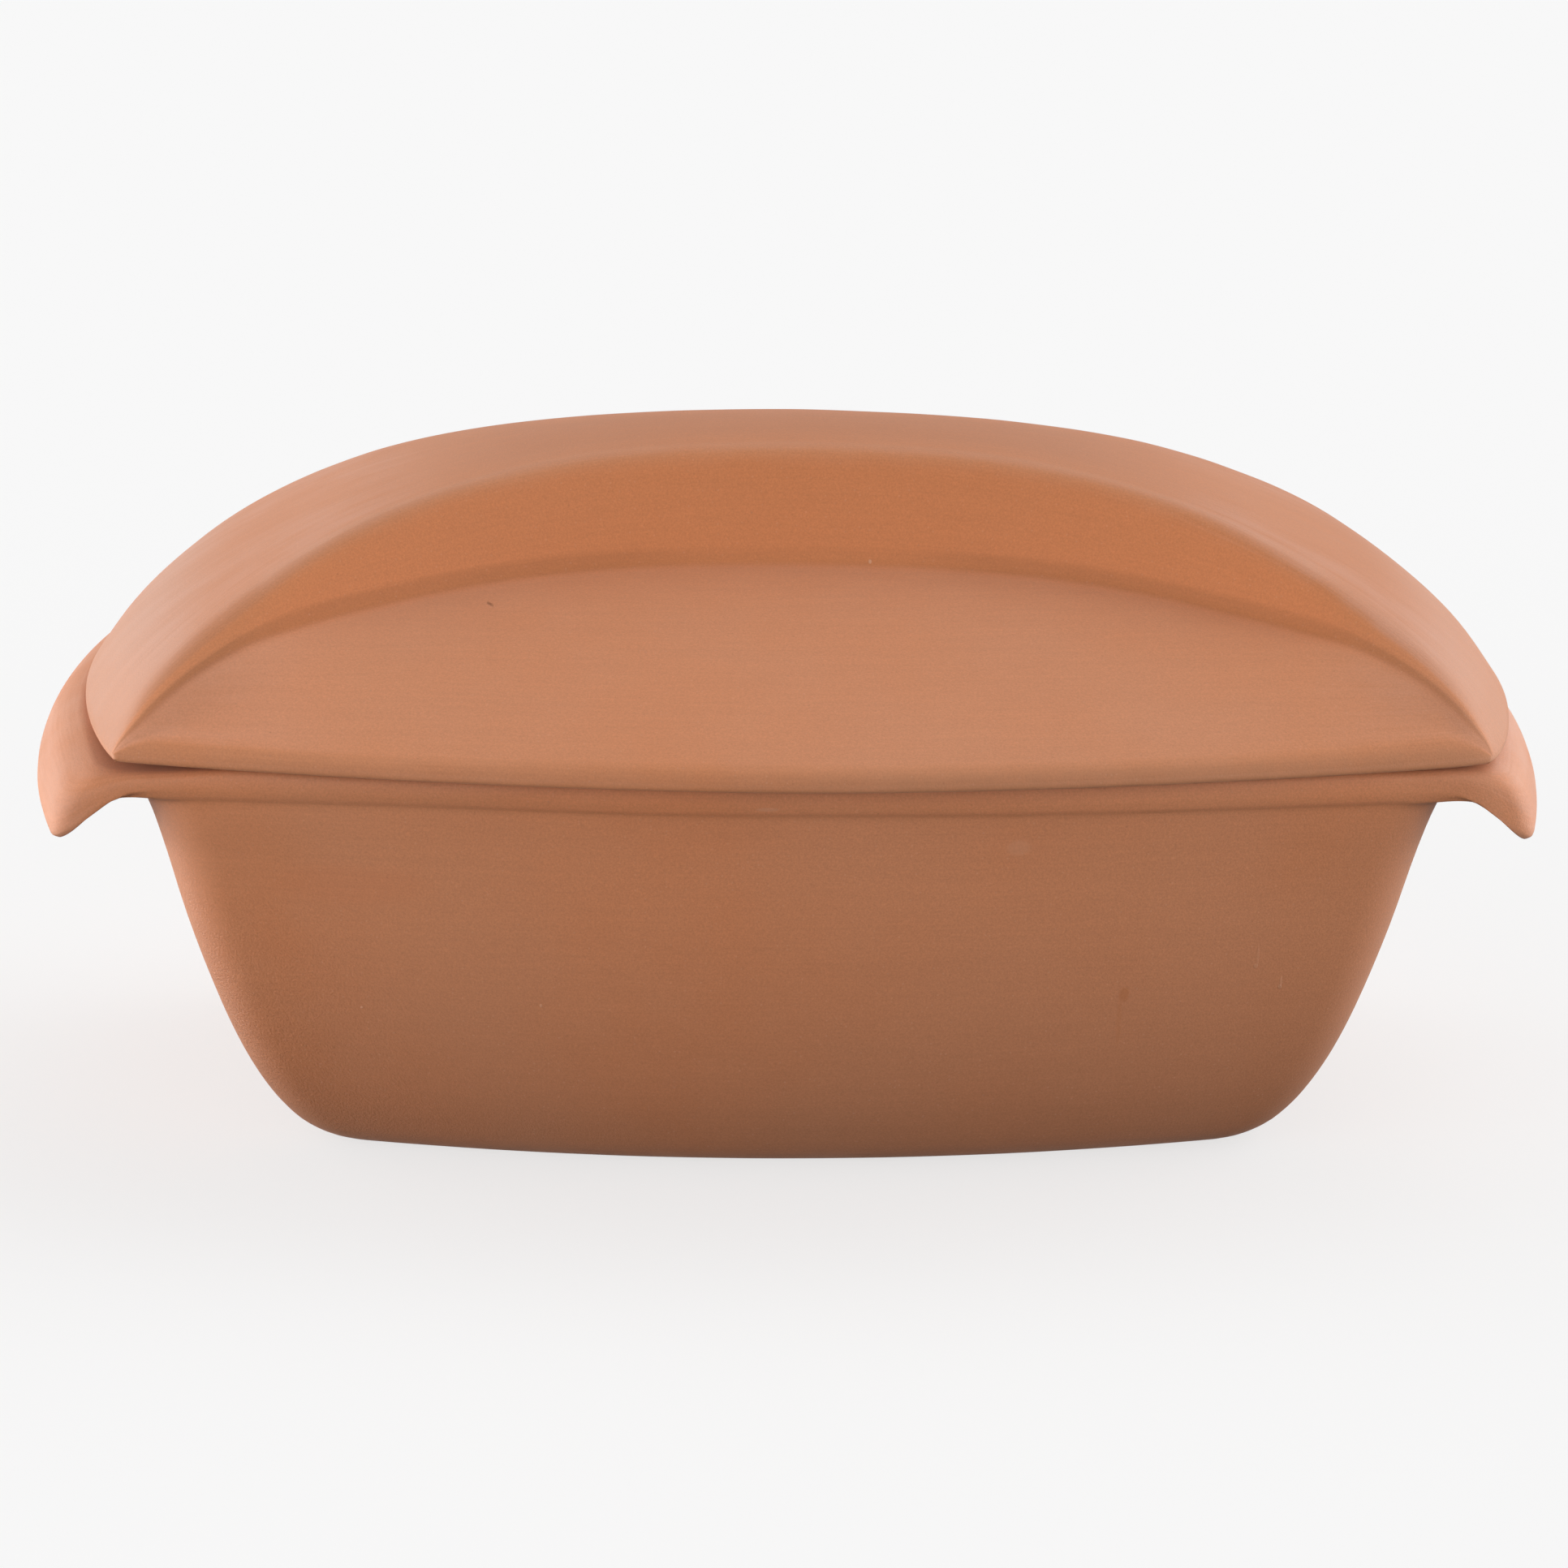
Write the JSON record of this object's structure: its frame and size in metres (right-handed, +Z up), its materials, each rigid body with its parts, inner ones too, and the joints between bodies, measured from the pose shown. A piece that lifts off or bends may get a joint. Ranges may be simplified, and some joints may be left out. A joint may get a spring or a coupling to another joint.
{
  "type": "covered clay baker",
  "caption": "Oblong covered baker of unglazed fired clay: a deep dish with turned-down end lips to carry it by, and a vaulted lid with a raised band as its grip.",
  "frame": {"origin": "centre of the underside of the foot, on the surface the dish stands on", "axes": "+X along the length towards the right-hand lip, -Y towards the viewer of the picture (front long side), +Z up"},
  "size_m": [0.38, 0.2364, 0.1712],
  "materials": {
    "dish_clay": "matte, unglazed, fine sandy grain",
    "lid_clay": "matte, unglazed, fine sandy grain"
  },
  "bodies": {
    "base": {"base_dish": "dish_clay"},
    "cover": {"lid": "lid_clay"}
  },
  "joints": [
    {"name": "lid_lift", "type": "slide", "parent": "base", "child": "cover", "axis": [0, 0, 1], "range_m": [0, 0.15]}
  ]
}
